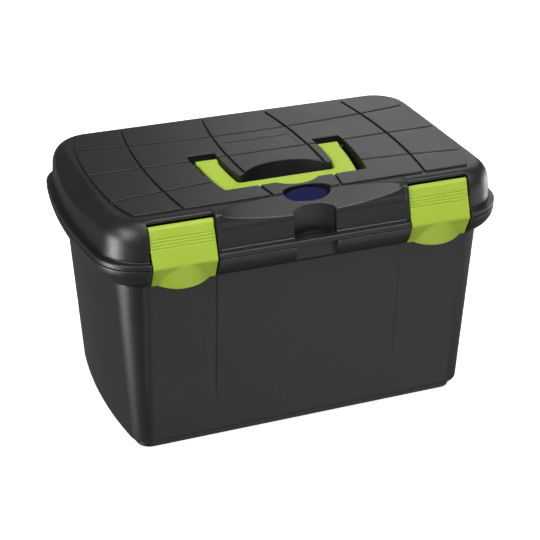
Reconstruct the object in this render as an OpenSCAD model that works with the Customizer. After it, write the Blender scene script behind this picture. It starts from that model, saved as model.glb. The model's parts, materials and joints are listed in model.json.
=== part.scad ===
// Moulded grooming box: a drafted tub with a rolled rim, a tiled hinged lid,
// two over-rim latches, a folding carry handle and a sliding tray.
// Origin at the middle of the base, front towards -Y, +Z up.

/* [Overall] */
// Width over the rim, end to end
width = 400; // [370:5:430]
// Depth over the rim, front to back
depth = 250; // [240:2:264]
// Height from the ground to the top of the lid
height = 240; // [220:2:270]
// Height of the lid above the parting line
lid_h = 42; // [40:0.5:46]
// Plan radius of the bowed ends
end_r = 560; // [480:10:700]
// Plan radius of the rim corners
corner_r = 46; // [44:1:54]
// Gap between faces that move past each other
run_gap = 0.4; // [0.3:0.05:0.5]
// Radial clearance of a pin in its bore
bore_gap = 0.05; // [0.03:0.01:0.08]

/* [Tub] */
// Thickness of the tub walls
tub_wall = 2.6; // [2:0.1:3]
// Thickness of the tub floor
floor_t = 3; // [2.4:0.2:4]
// Height of the rolled rim
rim_h = 20; // [18:0.5:23]
// How far the foot of the rim tucks in
rim_tuck = 11.5; // [10:0.25:12]
// Inset of the tub wall under the rim
wall_inset = 15.9; // [15.5:0.1:16.5]
// Inset of the tub wall at the foot
foot_inset = 26.2; // [25:0.2:29]
// Height of the plinth
plinth_h = 8; // [6:0.5:10]
// Inset of the plinth
plinth_inset = 33; // [31:0.5:36]
// Width of the hollow under the front finger scoop
rim_scoop_w = 39; // [34:1:44]
// Depth of the hollow under the front finger scoop
rim_scoop_d = 6; // [4:0.5:7]
// Radius of the latch catch bead
catch_r = 2.4; // [2:0.1:2.5]
// Drop of the catch bead below the parting line
catch_drop = 9; // [8:0.5:11]
// Height of the tray ledge below the parting line
ledge_drop = 8.6; // [8:0.2:12]
// Thickness of the tray ledge
ledge_t = 2.8; // [2:0.2:4]
// Side clearance of the tray's body between its ledges
ledge_gap = 3; // [1:0.25:4]
// Length of the tray ledge along the end wall
ledge_len = 150; // [120:5:152]

/* [Lid] */
// Thickness of the lid walls
lid_wall = 2.6; // [2.2:0.1:3]
// Height of the lip round the lid
lip_h = 5; // [4:0.25:6]
// Inset of the dome above the lip
dome_inset = 5.6; // [5:0.2:7]
// Lean of the dome wall up to its shoulder
dome_lean = 1.2; // [0:0.2:3]
// Height of the dome's round shoulder
dome_drop = 21; // [18:0.5:24]
// Inset of the tiled top
tile_inset = 27; // [25:0.5:29]
// Width of the grooves between the tiles
groove_w = 2; // [1.4:0.2:3]
// Depth of the grooves between the tiles
groove_d = 1.2; // [0.8:0.1:1.6]
// Distance from the middle to the inner long grooves
groove_x1 = 40.3; // [39:0.5:43]
// Inset of the outer long grooves from the ends
groove_inset = 77; // [70:1:90]
// Bow radius of the long grooves
groove_bow_r = 640; // [560:20:900]
// Distance from the middle to the front and rear cross grooves
groove_y = 50.4; // [48:0.5:52]
// Bow radius of the cross grooves
cross_bow_r = 1100; // [900:50:1600]
// Depth of the skirt that locates the lid inside the tub
skirt_h = 4; // [2.5:0.25:5]
// Thickness of the skirt
skirt_t = 1.7; // [1.4:0.1:2.2]
// Clearance round the skirt
skirt_gap = 0.8; // [0.6:0.1:1.2]

/* [Front hood] */
// Gap between the hood and the latch pockets
hood_gap = 3.6; // [3:0.2:8]
// Inset of the hood face at its foot
hood_inset = 5.4; // [4.6:0.2:6.4]
// Lean of the hood face up to the lid top
hood_lean = 4.6; // [3:0.2:6]
// Height of the round brow of the hood
brow_h = 5; // [3:0.5:7]
// Depth of the scalloped facet at the middle
leaf_drop = 13.6; // [11:0.2:17]
// Rise of the facet from the middle to its tips
leaf_rise = 8.2; // [7:0.2:12]
// Width of the finger scoop
scoop_w = 40; // [34:0.5:44]
// Depth of the finger scoop behind the rim line
scoop_d = 15.7; // [14:0.1:16.5]
// Rise of the arc at the back of the finger scoop
scoop_bow = 5.3; // [4:0.1:7]
// Length of the oval badge
badge_l = 44; // [38:0.5:45]
// Width of the oval badge
badge_w = 21; // [18:0.5:22]
// Bow radius of the oval badge's long edges
badge_bow_r = 36.5; // [33:0.5:40]
// Thickness of the badge
badge_t = 1.6; // [1.2:0.1:2.2]
// Inset of the badge's middle from the rim line
badge_inset = 27.9; // [27:0.2:29]
// Drop of the badge's middle below the lid top
badge_drop = 5.3; // [4.4:0.1:6]
// Forward slope of the badge in degrees
badge_tilt = 19.5; // [15:0.5:24]

/* [Latches] */
// Inset of each latch's middle from the end
latch_inset = 78; // [76:0.5:79.5]
// Width of a latch
latch_w = 58.8; // [54:0.2:60]
// Thickness of a latch plate
latch_t = 2.8; // [2.2:0.1:3]
// Inset of a latch's top edge
latch_top_inset = 12.5; // [12:0.1:13]
// Drop of a latch's top edge below the lid top
latch_top_drop = 7.3; // [7:0.1:8]
// Inset of a latch's crease
latch_crease_inset = 0.6; // [0.2:0.1:1]
// Height of a latch's bent foot
latch_foot_h = 19.5; // [18:0.25:20]
// Inset of a latch's foot
latch_foot_inset = 9.6; // [9.2:0.1:9.7]
// Inset of the finger tab from the latch's side edges
tab_inset = 5.4; // [4:0.2:7]
// Reach of the finger tab
tab_out = 8.25; // [7:0.25:9.5]
// Radius of a latch's hinge barrels
barrel_r = 3.6; // [3.3:0.1:3.8]
// Length of a latch's hinge barrels
barrel_l = 13; // [9:0.5:18]
// Radius of a latch pin
latch_pin_r = 1.6; // [1.2:0.1:1.8]
// Side gap between a latch and its pocket
latch_side_gap = 1; // [0.6:0.1:1.4]
// Room behind a latch's barrels
latch_back_gap = 3.6; // [3.2:0.1:3.8]

/* [Handle] */
// Half width of the handle over its arms at the pivots
handle_half_w = 71; // [68:0.5:73]
// Width of a handle arm
arm_w = 20; // [16:0.5:21]
// Thickness of the handle
handle_t = 11; // [9:0.5:12]
// Bow radius of the arms' outer edges
arm_bow_r = 320; // [280:10:420]
// Distance from the pivots to the front of the grip
handle_len = 67.5; // [62:0.5:68.5]
// Width of the grip
grip_w = 19; // [16:0.5:21]
// Inset of the grip's front edge behind the rim line
grip_inset = 56; // [55:0.5:58]
// Drop of the handle's top below the lid top at the pivots
handle_drop = 2; // [1.4:0.1:3]
// Slope of the folded handle in degrees
handle_tilt = 4; // [2:0.5:4.5]
// Radius of a handle pin
handle_pin_r = 2; // [1.6:0.1:2.4]
// Gap below the folded handle
well_gap = 1.3; // [0.8:0.1:3]
// Gap between the arms and the well's outer edges
well_out_gap = 5.6; // [3:0.2:6.4]
// Gap between the arms and the well's island
well_in_gap = 1.4; // [0.8:0.1:2]
// Gap in front of the grip
well_front_gap = 5.2; // [4:0.2:6]
// Room behind the pivots
well_rear = 13; // [11:0.5:15]
// Half width of the finger pit behind the grip
pit_half_w = 42; // [36:0.5:43]
// Depth of the finger pit behind the grip
pit_d = 20; // [16:0.5:22]
// Radius of the thumb notch in front of the grip
notch_r = 27; // [24:0.5:29]
// Depth of the thumb notch in front of the grip
notch_d = 9; // [6:0.5:10]

/* [Hinges] */
// Inset of each hinge from the end
hinge_inset = 85; // [80:1:110]
// Radius of the hinge knuckles
knuckle_r = 5.2; // [4.6:0.1:5.6]
// Length of a tub knuckle
tub_knuckle_l = 12; // [9:0.5:16]
// Length of a lid knuckle
lid_knuckle_l = 22; // [16:0.5:28]
// Radius of a hinge pin
hinge_pin_r = 2; // [1.6:0.1:2.4]
// Radius of a hinge pin's head
pin_head_r = 3.4; // [3:0.1:3.8]
// Thickness of a hinge pin's head
pin_head_t = 1.4; // [1:0.1:2]

/* [Tray] */
// Clearance between the tray's flange and the tub's end walls
tray_end_gap = 12.5; // [11:0.5:16]
// Depth of the tray over its flange, front to back
tray_depth = 100; // [90:1:104]
// Height of the tray
tray_h = 46; // [36:1:56]
// Thickness of the tray walls
tray_wall = 2; // [1.6:0.1:2.4]
// Width of the tray's end flanges
flange_w = 9; // [8.5:0.25:9.5]
// Width of the tray's long flanges
flange_side = 4; // [3:0.25:6]
// Corner radius of the tray's flange
tray_r = 22; // [20:0.5:24]
// Thickness of a tray divider
divider_t = 2; // [1.6:0.1:2.4]
// Distance from the middle to each short divider
divider_x = 62; // [45:1:90]
// Depth of the ribs that hold a divider
divider_rib = 3; // [2:0.25:4]
// Clearance of a divider in its slot
divider_gap = 0.15; // [0.1:0.05:0.3]

/* [Hidden] */

$fn = 96;
charcoal = [0.2, 0.2, 0.21];
lime = [0.6, 0.76, 0.15];
navy = [0.08, 0.08, 0.25];
steel = [0.7, 0.7, 0.72];
tray_grey = [0.3, 0.3, 0.31];

// Overrun of cuts, and lap of solids that fuse
over = run_gap * 5;
lap = run_gap;
// Step where the corner turns of the outline meet its sides
seam = run_gap / 8;
arc_steps = 6;

// Heights
part_z = height - lid_h;
rim_z = part_z - rim_h;
lid_z = part_z + run_gap;
lip_z = lid_z + lip_h;
shoulder_z = height - dome_drop;
front_y = -depth / 2;

// Plan arcs: every inset of the outline keeps these centres
end_cx = width / 2 - end_r;
corner_cy = depth / 2 - corner_r;
corner_cx = end_cx + sqrt(pow(end_r - corner_r, 2) - pow(corner_cy, 2));
end_y = (end_r - corner_r / 3) * corner_cy / (end_r - corner_r);

// Points of a quarter ellipse from a low outer point to a high inner point
function shoulder(d0, z0, d1, z1) =
    [for (i = [0 : arc_steps]) let (a = 90 * i / arc_steps)
        [d1 - (d1 - d0) * cos(a), z0 + (z1 - z0) * sin(a)]];

// Draft of the tub wall: inset at a height below the rim
function wall_at(z) = wall_inset + (foot_inset - wall_inset) * (rim_z - z) / (rim_z - plinth_h);

// Solid with the plan outline, whose side follows inset and height points from low to high
module tower(side) {
    low = side[0][1];
    high = side[len(side) - 1][1];
    intersection() {
        block([-width, width], [-end_y, end_y], [low - over, high + over]);
        turned(side, end_r, end_cx, 0);
        turned(side, end_r, -end_cx, 0);
    }
    along_x(2 * corner_cx)
        polygon(concat([for (p = side) [depth / 2 - p[0], p[1]]],
                       [for (i = [len(side) - 1 : -1 : 0]) [side[i][0] - depth / 2, side[i][1]]]));
    for (sx = [-1, 1], sy = [-1, 1])
        turned(side, corner_r - seam, sx * corner_cx, sy * corner_cy);
}

module turned(side, r, x, y) {
    translate([x, y, 0])
        rotate_extrude($fn = r > corner_r ? 4 * $fn : $fn)
            polygon(concat([[0, side[0][1]]], [for (p = side) [r - p[0], p[1]]],
                           [[0, side[len(side) - 1][1]]]));
}

// Upright ring with the plan outline, between two insets
module hoop(d0, d1, z0, z1) {
    difference() {
        tower([[d0, z0], [d0, z1]]);
        tower([[d1, z0 - over], [d1, z1 + over]]);
    }
}

// Extrudes a front-to-back outline along X, centred on the middle
module along_x(l) {
    translate([-l / 2, 0, 0])
        rotate([90, 0, 90])
            linear_extrude(l)
                children();
}

module both_sides() {
    for (sx = [0, 1])
        mirror([sx, 0, 0])
            children();
}

module block(x, y, z) {
    translate([x[0], y[0], z[0]])
        cube([x[1] - x[0], y[1] - y[0], z[1] - z[0]]);
}

module bar_x(r, x0, x1, y, z) {
    translate([x0, y, z])
        rotate([0, 90, 0])
            cylinder(r = r, h = x1 - x0);
}

// Outer curve of the rim, from its foot up to the parting line
rim_share = [[1, 0], [0.68, 0.14], [0.4, 0.32], [0.17, 0.56], [0.04, 0.8], [0, 1]];
rim_curve = [for (s = rim_share) [rim_tuck * s[0], rim_z + rim_h * s[1]]];
mouth_inset = wall_inset + tub_wall;
foot_round = tub_wall * 0.8;
plinth_in = plinth_inset + tub_wall;

// Outside of the tub: plinth, drafted side and rolled rim
tub_outer = concat(
    [[plinth_inset, 0], [plinth_inset, plinth_h], [foot_inset + foot_round, plinth_h],
     [foot_inset, plinth_h + foot_round], [wall_inset, rim_z]], rim_curve);
// Inside of the tub, one wall thickness in
tub_inner = [[plinth_in, floor_t], [plinth_in, plinth_h + floor_t],
             [foot_inset + tub_wall, plinth_h + floor_t], [mouth_inset, rim_z],
             [mouth_inset, part_z + over]];
// Hollow under the rolled rim, open below
rim_hollow = concat([[rim_tuck + tub_wall, rim_z - over]],
                    [for (p = rim_curve) if (p[1] < part_z - tub_wall) [p[0] + tub_wall, p[1]]],
                    [[tub_wall, part_z - tub_wall]]);

rim_solid = concat(rim_curve, [[wall_inset + lap, part_z], [wall_inset + lap, rim_z]]);

// Latch pocket edges in X, and the notch that it continues in the rim
latch_x = width / 2 - latch_inset;
pocket_x0 = latch_x - latch_w / 2 - latch_side_gap;
pocket_x1 = latch_x + latch_w / 2 + latch_side_gap;
notch_inset = wall_inset - tub_wall / 2;
catch_inset = wall_inset - catch_r / 4;
catch_front = catch_inset - catch_r;

// Hinge axis, just behind the rim
hinge_x = width / 2 - hinge_inset;
hinge_y = depth / 2 + knuckle_r + run_gap;
hinge_z = part_z + run_gap / 2;
hinge_half = lid_knuckle_l / 2 + run_gap + tub_knuckle_l;
web_t = lip_h * 0.8;

module hinge_bores() {
    both_sides()
        bar_x(hinge_pin_r + bore_gap, hinge_x - hinge_half - over, hinge_x + hinge_half + over,
              hinge_y, hinge_z);
}

module knuckle(x0, x1, z0, z1) {
    bar_x(knuckle_r, x0, x1, hinge_y, hinge_z);
    block([x0, x1], [depth / 2 - tub_wall, hinge_y], [z0, z1]);
}

module tub_knuckles() {
    inner_end = lid_knuckle_l / 2 + run_gap;
    both_sides() {
        knuckle(hinge_x - hinge_half, hinge_x - inner_end, part_z - web_t, part_z);
        knuckle(hinge_x + inner_end, hinge_x + hinge_half, part_z - web_t, part_z);
    }
}

// Width of the tray over its flange and over its body, and the rail on each end wall that carries it
tray_w = width - 2 * (mouth_inset + tray_end_gap);
body_w = tray_w - 2 * flange_w;
ledge_x = body_w / 2 + ledge_gap;
ledge_top = part_z - ledge_drop;
module tray_ledges() {
    out_r = end_r - wall_at(ledge_top - ledge_t) - tub_wall / 2;
    both_sides()
        intersection() {
            translate([end_cx, 0, ledge_top - ledge_t])
                cylinder(r = out_r, h = ledge_t);
            block([ledge_x, width / 2], [-ledge_len / 2, ledge_len / 2],
                  [ledge_top - ledge_t, ledge_top]);
        }
}

// Solid ends beside each latch notch, and a backing for the finger hollow
module rim_ribs() {
    both_sides()
        for (x = [pocket_x0 - tub_wall / 2, pocket_x1 + tub_wall / 2])
            translate([x, 0, 0])
                along_x(tub_wall)
                    polygon([for (p = rim_solid) [front_y + p[0], p[1]]]);
    along_x(rim_scoop_w + 2 * tub_wall)
        polygon([for (p = rim_solid) [front_y + p[0], p[1]]]);
}

module tub() {
    color(charcoal)
        difference() {
            union() {
                difference() {
                    tower(tub_outer);
                    tower(tub_inner);
                    difference() {
                        tower(rim_hollow);
                        tower([[wall_inset, rim_z - 2 * over], [wall_inset, part_z]]);
                    }
                }
                tray_ledges();
                rim_ribs();
                tub_knuckles();
            }
            both_sides()
                difference() {
                    block([pocket_x0, pocket_x1], [front_y - over, front_y + notch_inset],
                          [rim_z - over, part_z + over]);
                    bar_x(catch_r, pocket_x0 + barrel_r, pocket_x1 - barrel_r,
                          front_y + catch_inset, part_z - catch_drop);
                }
            block([-rim_scoop_w / 2, rim_scoop_w / 2], [front_y - over, front_y + rim_scoop_d],
                  [rim_z - over, part_z + over]);
            hinge_bores();
        }
}

module hinge_pin() {
    color(steel) {
        bar_x(hinge_pin_r, hinge_x - hinge_half, hinge_x + hinge_half, hinge_y, hinge_z);
        bar_x(pin_head_r, hinge_x + hinge_half, hinge_x + hinge_half + pin_head_t, hinge_y, hinge_z);
        bar_x(pin_head_r, hinge_x - hinge_half - pin_head_t, hinge_x - hinge_half, hinge_y, hinge_z);
    }
}

module hinge_pin_left() {
    mirror([1, 0, 0])
        hinge_pin();
}

module hinge_pin_right() {
    hinge_pin();
}

// Dome of the lid, outside and inside, and the locating skirt
lip_edge = lip_h / 5;
skirt_out = mouth_inset + skirt_gap;
skirt_in = skirt_out + skirt_t;
skirt_z = part_z - skirt_h;
deck_z = lid_z + lid_wall;
lid_outer = concat(
    [[0, lid_z], [0, lip_z - lip_edge], [lip_edge, lip_z], [dome_inset, lip_z]],
    shoulder(dome_inset + dome_lean, shoulder_z, tile_inset, height));
lid_inner = concat(
    [[skirt_in, skirt_z - over], [skirt_in, deck_z], [dome_inset + lid_wall, deck_z]],
    shoulder(dome_inset + dome_lean + lid_wall, shoulder_z, tile_inset + lid_wall, height - lid_wall));

// Hood face and brow, as inset and height points
hood_top = hood_inset + hood_lean;
hood_line = concat(
    [[hood_inset, lid_z], [hood_inset, lip_z]],
    shoulder(hood_top, height - brow_h, tile_inset, height),
    [[corner_r, height], [corner_r, lid_z]]);
hood_w = 2 * (pocket_x0 - hood_gap);
leaf_half_w = hood_w / 2;
leaf_r = (pow(leaf_half_w, 2) + pow(leaf_rise, 2)) / (2 * leaf_rise);
leaf_run = tile_inset - hood_top;
leaf_tilt = atan(leaf_drop / leaf_run);

module hood() {
    along_x(hood_w)
        polygon([for (p = hood_line) [front_y + p[0], p[1]]]);
}

module hood_hollow() {
    along_x(hood_w - 2 * lid_wall)
        polygon([[front_y + hood_top + lid_wall, deck_z],
                 [front_y + hood_top + lid_wall, height - leaf_drop - lid_wall],
                 [front_y + tile_inset + lid_wall, height - lid_wall],
                 [front_y + corner_r, height - lid_wall], [front_y + corner_r, deck_z]]);
}

// Long shallow scallop that slopes from the tiles down to the hood face
module leaf_cut(grow) {
    intersection() {
        translate([0, front_y + tile_inset, height])
            rotate([leaf_tilt, 0, 0])
                translate([0, 0, leaf_r])
                    rotate([90, 0, 0])
                        cylinder(r = leaf_r + grow, h = 2 * tile_inset, center = true, $fn = 2 * $fn);
        block([-leaf_half_w, leaf_half_w], [front_y - over, front_y + tile_inset + grow],
              [height - 2 * leaf_drop, height + over]);
    }
}

// Finger scoop with straight cheeks and a bowed back
scoop_r = (pow(scoop_w / 2, 2) + pow(scoop_bow, 2)) / (2 * scoop_bow);
module scoop(grow, z0) {
    half_w = scoop_w / 2 + grow;
    intersection() {
        translate([0, front_y + scoop_d - scoop_r, z0])
            cylinder(r = scoop_r + grow, h = height + over - z0);
        block([-half_w, half_w], [front_y - over, front_y + scoop_d + grow + over],
              [z0 - over, height + 2 * over]);
    }
}

// Oval of two long arcs with round ends, in the plane of the badge
module oval(grow) {
    intersection() {
        circle(badge_l / 2 + grow);
        intersection_for (s = [-1, 1])
            translate([0, s * (badge_bow_r - badge_w / 2)])
                circle(badge_bow_r + grow);
    }
}

module on_badge_plane() {
    translate([0, front_y + badge_inset, height - badge_drop])
        rotate([badge_tilt, 0, 0])
            children();
}

module badge_seat_cut() {
    on_badge_plane()
        translate([0, 0, -badge_t])
            linear_extrude(badge_t + 2 * badge_drop)
                oval(run_gap);
}

module badge_housing() {
    on_badge_plane()
        translate([-badge_l / 2 - lid_wall, -badge_w / 2 - lid_wall, -badge_t - lid_wall])
            cube([badge_l + 2 * lid_wall, badge_w + 2 * lid_wall, 3 * badge_drop]);
}

// Latch pivot and pocket
crease_z = part_z + run_gap / 2;
foot_z = crease_z - latch_foot_h;
latch_top_z = height - latch_top_drop;
latch_lean = (latch_top_inset - latch_crease_inset) / (latch_top_z - crease_z);
latch_pin_z = latch_top_z - barrel_r - latch_t / 2;
latch_pin_inset = latch_crease_inset + latch_lean * (latch_pin_z - crease_z) + barrel_r + latch_t / 2;
latch_pin_y = front_y + latch_pin_inset;
pocket_back = latch_pin_inset + barrel_r + latch_back_gap;
shelf_inset = latch_crease_inset + 2 * latch_t;

module latch_housing() {
    block([pocket_x0 - lid_wall, pocket_x1 + lid_wall],
          [front_y - over, front_y + pocket_back + lid_wall], [lid_z, height + over]);
}

module latch_pocket() {
    block([pocket_x0, pocket_x1], [front_y - over, front_y + pocket_back], [lip_z, height + over]);
    block([pocket_x0, pocket_x1], [front_y - over, front_y + shelf_inset], [lid_z - over, height]);
}

// Handle pivot, well and finger pit
pivot_y = front_y + grip_inset + handle_len;
pivot_z = height - handle_drop - handle_t / 2;
handle_low = handle_len * sin(handle_tilt) + handle_t / 2 * cos(handle_tilt);
well_d = height - pivot_z + handle_low + well_gap;
bow_cx = handle_half_w - arm_bow_r;
well_front = pivot_y - handle_len - well_front_gap;
well_inner_y = pivot_y - handle_len + grip_w + well_in_gap * 2;
pit_r = (pow(pit_half_w, 2) + pow(pit_d, 2)) / (2 * pit_d);
island_half_w = handle_half_w - arm_w - well_in_gap;
well_half_w = handle_half_w + well_out_gap;

module bow_ring(r0, r1) {
    translate([bow_cx, pivot_y])
        difference() {
            circle(r1, $fn = 2 * $fn);
            circle(r0, $fn = 2 * $fn);
        }
}

module well_plan() {
    both_sides()
        intersection() {
            bow_ring(arm_bow_r - arm_w - well_in_gap, arm_bow_r + well_out_gap);
            translate([0, well_front])
                square([well_half_w + over, pivot_y + well_rear - well_front]);
        }
    translate([-island_half_w, well_front])
        square([2 * island_half_w, well_inner_y - well_front]);
    intersection() {
        translate([0, well_inner_y + pit_d - pit_r])
            circle(pit_r);
        translate([-pit_half_w, well_front])
            square([2 * pit_half_w, well_inner_y + pit_d + over - well_front]);
    }
    intersection() {
        translate([0, well_front - notch_d + notch_r])
            circle(notch_r);
        translate([-notch_r, well_front - notch_d - over])
            square([2 * notch_r, notch_d + 2 * over]);
    }
}

module well_housing() {
    well_low = well_front - notch_d - lid_wall;
    translate([0, 0, height - well_d - lid_wall])
        linear_extrude(well_d + lid_wall + over)
            difference() {
                translate([-well_half_w - lid_wall, well_low])
                    square([2 * (well_half_w + lid_wall), pivot_y + well_rear + lid_wall - well_low]);
                translate([lid_wall - island_half_w, well_inner_y + pit_d + lid_wall])
                    square([2 * (island_half_w - lid_wall), well_rear + handle_len]);
            }
}

// Grooves that part the top into tiles
module top_grooves() {
    z0 = height - groove_d;
    half_d = depth / 2 - tile_inset;
    half_w = width / 2 - tile_inset;
    hoop(tile_inset, tile_inset + groove_w, z0, height + over);
    for (x = [groove_x1, width / 2 - groove_inset])
        both_sides()
            translate([x - groove_bow_r, 0, z0])
                intersection() {
                    ring_cut(groove_bow_r);
                    translate([groove_bow_r / 2, -half_d, 0])
                        cube([groove_bow_r, 2 * half_d, groove_d + over]);
                }
    for (sy = [0, 1])
        mirror([0, sy, 0])
            translate([0, groove_y + cross_bow_r, z0])
                intersection() {
                    ring_cut(cross_bow_r);
                    translate([-half_w, -cross_bow_r - groove_w, 0])
                        cube([2 * half_w, cross_bow_r / 2, groove_d + over]);
                }
    block([-half_w, half_w], [-groove_w / 2, groove_w / 2], [z0, height + over]);
}

module ring_cut(r) {
    linear_extrude(groove_d + over)
        difference() {
            circle(r + groove_w / 2, $fn = 4 * $fn);
            circle(r - groove_w / 2, $fn = 4 * $fn);
        }
}

module lid_hollow() {
    difference() {
        union() {
            tower(lid_inner);
            hood_hollow();
        }
        both_sides()
            latch_housing();
        well_housing();
        scoop(lid_wall, lid_z);
        leaf_cut(lid_wall);
        badge_housing();
    }
}

module lid() {
    color(charcoal)
        difference() {
            union() {
                difference() {
                    union() {
                        tower(lid_outer);
                        hood();
                    }
                    lid_hollow();
                    leaf_cut(0);
                    both_sides()
                        latch_pocket();
                    scoop(0, lip_z);
                    badge_seat_cut();
                    top_grooves();
                    translate([0, 0, height - well_d])
                        linear_extrude(well_d + over)
                            well_plan();
                }
                hoop(skirt_out, skirt_in, skirt_z, deck_z - lap);
                both_sides()
                    knuckle(hinge_x - lid_knuckle_l / 2, hinge_x + lid_knuckle_l / 2, lid_z, lid_z + web_t);
            }
            hinge_bores();
            both_sides() {
                bar_x(latch_pin_r + bore_gap, pocket_x0 - lid_wall / 2, pocket_x1 + lid_wall / 2,
                      latch_pin_y, latch_pin_z);
                bar_x(handle_pin_r + bore_gap, island_half_w - lid_wall / 2, well_half_w + lid_wall / 2,
                      pivot_y, pivot_z);
            }
        }
}

module badge() {
    color(navy)
        on_badge_plane()
            translate([0, 0, -badge_t])
                linear_extrude(badge_t)
                    oval(0);
}

// Handle lying flat about its pivots, before it is sloped
boss_proud = run_gap;

// Plan between the bows of the two arms, from the given front edge back to the pivots
module bail_plan(r, front, rear) {
    intersection() {
        translate([bow_cx, 0])
            circle(r, $fn = 2 * $fn);
        translate([-bow_cx, 0])
            circle(r, $fn = 2 * $fn);
        translate([-width / 2, front])
            square([width, rear - front]);
    }
}

module carry_handle() {
    color(lime)
        translate([0, pivot_y, pivot_z])
            rotate([handle_tilt, 0, 0])
                difference() {
                    union() {
                        translate([0, 0, -handle_t / 2])
                            linear_extrude(handle_t)
                                difference() {
                                    bail_plan(arm_bow_r, -handle_len, 0);
                                    bail_plan(arm_bow_r - arm_w, grip_w - handle_len, over);
                                }
                        both_sides()
                            bar_x(handle_t / 2 + boss_proud, handle_half_w - arm_w - boss_proud,
                                  handle_half_w + boss_proud, 0, 0);
                    }
                    both_sides()
                        bar_x(handle_pin_r + bore_gap, island_half_w, well_half_w, 0, 0);
                }
}

module handle_pin() {
    color(steel)
        bar_x(handle_pin_r, island_half_w - lid_wall / 2, well_half_w + lid_wall / 2, pivot_y, pivot_z);
}

module handle_pin_left() {
    mirror([1, 0, 0])
        handle_pin();
}

module handle_pin_right() {
    handle_pin();
}

// Side outline of a latch: leaning plate, bent foot and a nib below the catch
nib_inset = catch_front - run_gap;
nib_h = latch_t;
latch_line = [[latch_top_inset, latch_top_z], [latch_crease_inset, crease_z],
              [latch_foot_inset, foot_z], [nib_inset, foot_z], [nib_inset, foot_z + nib_h / 2],
              [latch_foot_inset + latch_t - (latch_foot_inset - latch_crease_inset) * nib_h / latch_foot_h,
               foot_z + nib_h],
              [latch_crease_inset + latch_t, crease_z], [latch_top_inset + latch_t, latch_top_z]];

// The finger tab is part of a slanted cylinder: it leaves the foot plate a little below
// the crease and stands off it by tab_out at the foot
tab_half_w = latch_w / 2 - tab_inset;
tab_start = latch_t / 2;
foot_slope = atan((latch_foot_inset - latch_crease_inset) / latch_foot_h);
foot_len = latch_foot_h / cos(foot_slope);
tab_open = atan(tab_out / (foot_len - tab_start));
tab_rise = tab_out * cos(tab_open);
tab_r = (pow(tab_half_w, 2) + pow(tab_rise, 2)) / (2 * tab_rise);

module finger_tab() {
    translate([latch_x, front_y + latch_crease_inset, crease_z])
        rotate([foot_slope, 0, 0])
            intersection() {
                translate([0, 0, -tab_start])
                    rotate([-tab_open, 0, 0])
                        translate([0, tab_r, -2 * foot_len])
                            cylinder(r = tab_r, h = 3 * foot_len);
                translate([-latch_w / 2, -2 * tab_out, -foot_len])
                    cube([latch_w, 2 * tab_out + latch_t / 2, foot_len]);
            }
}

module latch() {
    color(lime)
        difference() {
            union() {
                translate([latch_x, 0, 0])
                    along_x(latch_w)
                        polygon([for (p = latch_line) [front_y + p[0], p[1]]]);
                finger_tab();
                for (x = [latch_x - latch_w / 2, latch_x + latch_w / 2 - barrel_l])
                    bar_x(barrel_r, x, x + barrel_l, latch_pin_y, latch_pin_z);
            }
            bar_x(latch_pin_r + bore_gap, pocket_x0, pocket_x1, latch_pin_y, latch_pin_z);
        }
}

module latch_left() {
    mirror([1, 0, 0])
        latch();
}

module latch_right() {
    latch();
}

module latch_pin() {
    color(steel)
        bar_x(latch_pin_r, pocket_x0 - lid_wall / 2, pocket_x1 + lid_wall / 2, latch_pin_y, latch_pin_z);
}

module latch_pin_left() {
    mirror([1, 0, 0])
        latch_pin();
}

module latch_pin_right() {
    latch_pin();
}

// Tray at the rear end of its travel, hung by its flanges on the ledges
tray_rear = depth / 2 - mouth_inset - flange_side - run_gap;
tray_y = tray_rear - tray_depth / 2;
flange_z = ledge_top + run_gap / 2;
tray_top = flange_z + tray_wall;
tray_z = tray_top - tray_h;
body_d = tray_depth - 2 * flange_side;
body_r = tray_r - flange_side;
cell_w = body_w - 2 * tray_wall;
cell_d = body_d - 2 * tray_wall;
slot_w = divider_t + 2 * divider_gap;
divider_low = tray_z + tray_wall;
divider_high = tray_top - tray_wall;

module round_plate(w, d, r) {
    square([w - 2 * r, d], center = true);
    square([w, d - 2 * r], center = true);
    for (sx = [-1, 1], sy = [-1, 1])
        translate([sx * (w / 2 - r), sy * (d / 2 - r)])
            circle(r);
}

// A pair of upright ribs that hold a divider's edge, out to divider_rib from the wall behind them
module rib_pair() {
    for (s = [-1, 1])
        translate([s * (slot_w + tray_wall) / 2 - tray_wall / 2, -lap, divider_low - lap])
            cube([tray_wall, divider_rib + lap, divider_high - divider_low + lap]);
}

module tray() {
    color(tray_grey)
        union() {
            translate([0, tray_y, tray_z])
                difference() {
                    union() {
                        linear_extrude(tray_h)
                            round_plate(body_w, body_d, body_r);
                        translate([0, 0, tray_h - tray_wall])
                            linear_extrude(tray_wall)
                                round_plate(tray_w, tray_depth, tray_r);
                    }
                    translate([0, 0, tray_wall])
                        linear_extrude(tray_h)
                            round_plate(cell_w, cell_d, body_r - tray_wall);
                }
            both_sides() {
                translate([divider_x, tray_y - cell_d / 2, 0])
                    rib_pair();
                translate([cell_w / 2, tray_y, 0])
                    rotate([0, 0, 90])
                        rib_pair();
            }
        }
}

// Long divider that parts the tray front from rear, with ribs for the short dividers
module tray_divider_long() {
    half_l = cell_w / 2 - divider_gap;
    color(tray_grey) {
        block([-half_l, half_l], [tray_y - divider_t / 2, tray_y + divider_t / 2],
              [divider_low, divider_high]);
        both_sides()
            translate([divider_x, tray_y - divider_t / 2, lap])
                rotate([0, 0, 180])
                    rib_pair();
    }
}

module tray_divider() {
    color(tray_grey)
        block([divider_x - divider_t / 2, divider_x + divider_t / 2],
              [tray_y - cell_d / 2 + divider_gap, tray_y - divider_t / 2 - divider_gap],
              [divider_low, divider_high]);
}

module tray_divider_left() {
    mirror([1, 0, 0])
        tray_divider();
}

module tray_divider_right() {
    tray_divider();
}

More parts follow.
